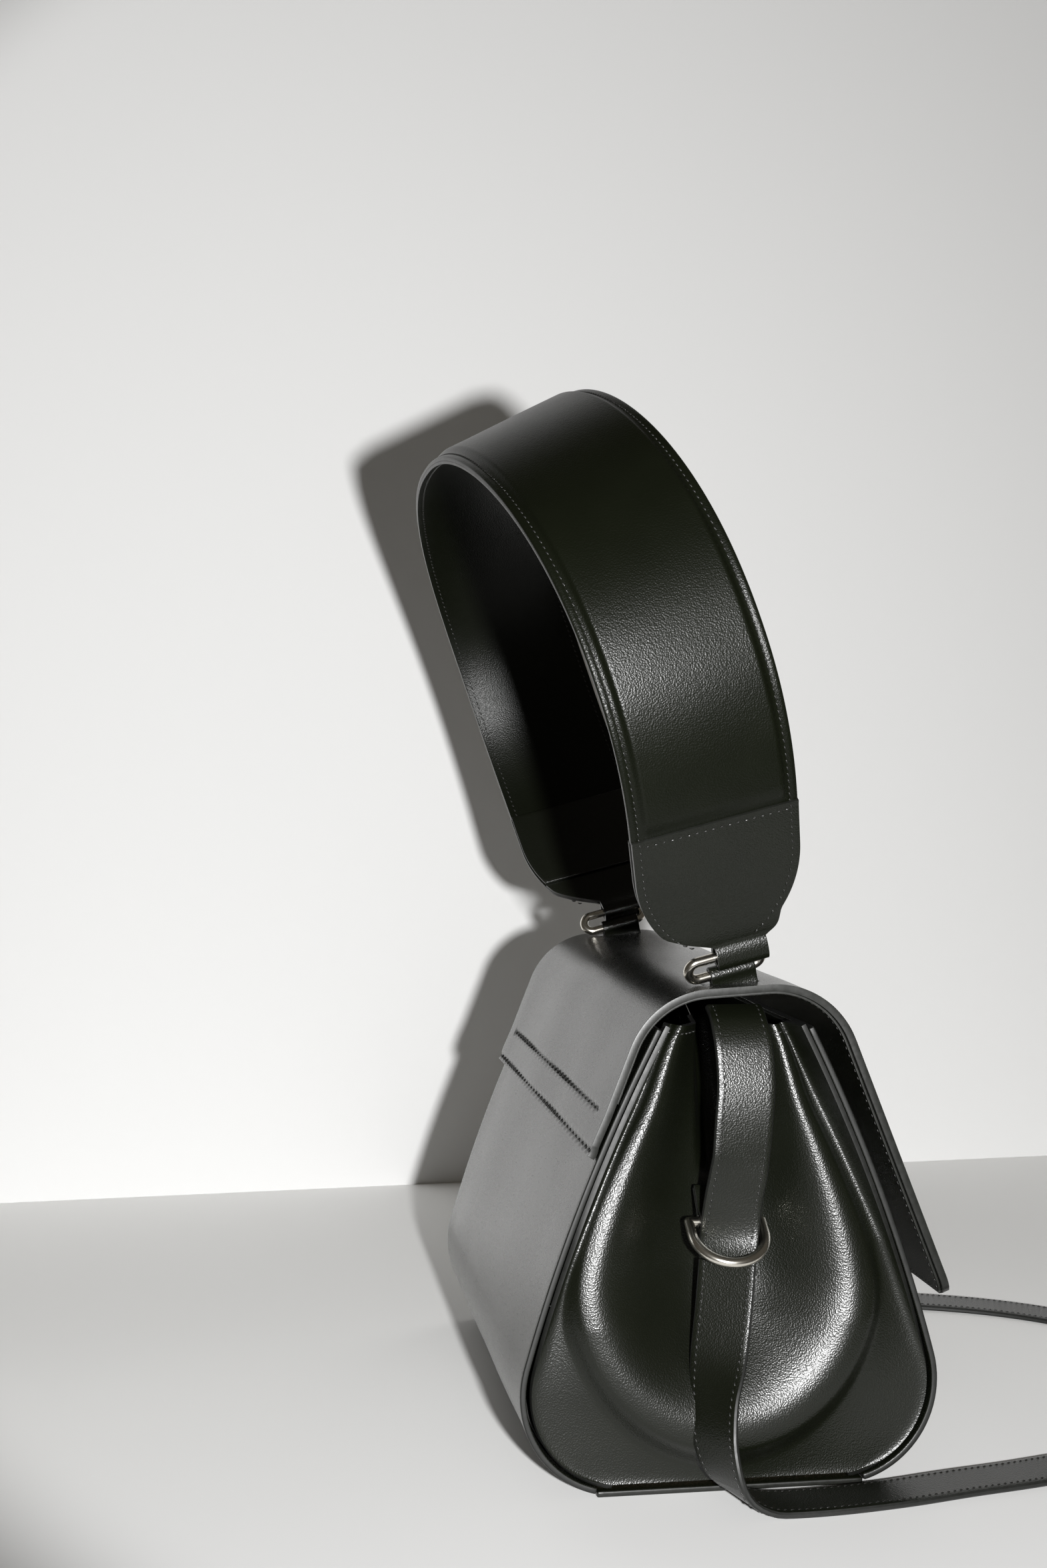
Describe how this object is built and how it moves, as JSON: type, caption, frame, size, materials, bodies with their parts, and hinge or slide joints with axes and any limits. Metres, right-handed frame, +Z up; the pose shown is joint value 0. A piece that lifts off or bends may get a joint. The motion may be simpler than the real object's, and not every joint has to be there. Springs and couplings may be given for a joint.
{
  "type": "top-handle flap bag",
  "caption": "Black leather bag with a wide padded handle on oval rings, a hinged flap, folded-in gussets and a long shoulder strap through D-rings.",
  "frame": {"origin": "middle of the base panel, on the table", "axes": "X along the bag, from its left gusset to its right gusset; -Y to the front with the free edge of the flap; Z up"},
  "size_m": [0.3598, 0.3969, 0.4652],
  "materials": {
    "leather": "smooth fine grain, satin",
    "leather_lining": "smooth, matt",
    "lining": "plain weave",
    "board": "fibre board",
    "foam": "soft foam",
    "metal": "polished pale nickel"
  },
  "bodies": {
    "body": {"base_panel": "leather", "base_board": "board", "back_panel": "leather", "front_panel": "leather", "gusset_left": "leather", "gusset_right": "leather", "lining": "lining", "back_facing": "leather", "front_facing": "leather", "flap_tail": "leather", "dring_tab_left": "leather", "dring_tab_right": "leather", "strap_drop_left": "leather", "strap_drop_right": "leather", "strap_loop": "leather"},
    "flap": {"flap_skin": "leather", "flap_lining": "leather_lining"},
    "strap_ends": {"strap_end_left": "leather", "strap_end_right": "leather"},
    "ring_left": {"ring_left": "metal"},
    "ring_right": {"ring_right": "metal"},
    "handle": {"handle_skin": "leather", "handle_padding": "foam", "handle_lining": "leather_lining", "handle_tongue_left": "leather", "handle_tongue_right": "leather"},
    "dring_left": {"dring_left": "metal"},
    "dring_right": {"dring_right": "metal"}
  },
  "joints": [
    {"name": "flap_open", "type": "hinge", "parent": "body", "child": "flap", "pos_m": [0, 0.05457, 0.15492], "axis": [-1, 0, 0], "range_deg": [0, 90], "deforming": ["strap_drop_left", "strap_drop_right"]},
    {"name": "handle_lean", "type": "hinge", "parent": "flap", "child": "strap_ends", "pos_m": [0, -0.001, 0.20429], "axis": [1, 0, 0], "range_deg": [0, 15]},
    {"name": "ring_left_tilt", "type": "hinge", "parent": "strap_ends", "child": "ring_left", "pos_m": [-0.111, 0.00084, 0.21114], "axis": [0, 0.9659, -0.2588], "range_deg": [-10, 10]},
    {"name": "handle_pivot", "type": "hinge", "parent": "ring_left", "child": "handle", "pos_m": [-0.11504, 0.0028, 0.21848], "axis": [0, 0.9659, -0.2588], "range_deg": [-10, 10]},
    {"name": "ring_right_tilt", "type": "hinge", "parent": "strap_ends", "child": "ring_right", "pos_m": [0.111, 0.00084, 0.21114], "axis": [0, 0.9659, -0.2588], "range_deg": [-10, 10]},
    {"name": "dring_left_swing", "type": "hinge", "parent": "body", "child": "dring_left", "pos_m": [-0.118, 0.002, 0.109], "axis": [0, 1, 0], "range_deg": [0, 60]},
    {"name": "dring_right_swing", "type": "hinge", "parent": "body", "child": "dring_right", "pos_m": [0.118, 0.002, 0.109], "axis": [0, -1, 0], "range_deg": [0, 60]}
  ],
  "couplings": [
    {"joint": "handle_pivot", "follows": "ring_left_tilt", "ratio": -0.9649},
    {"joint": "ring_right_tilt", "follows": "ring_left_tilt", "ratio": 1}
  ]
}
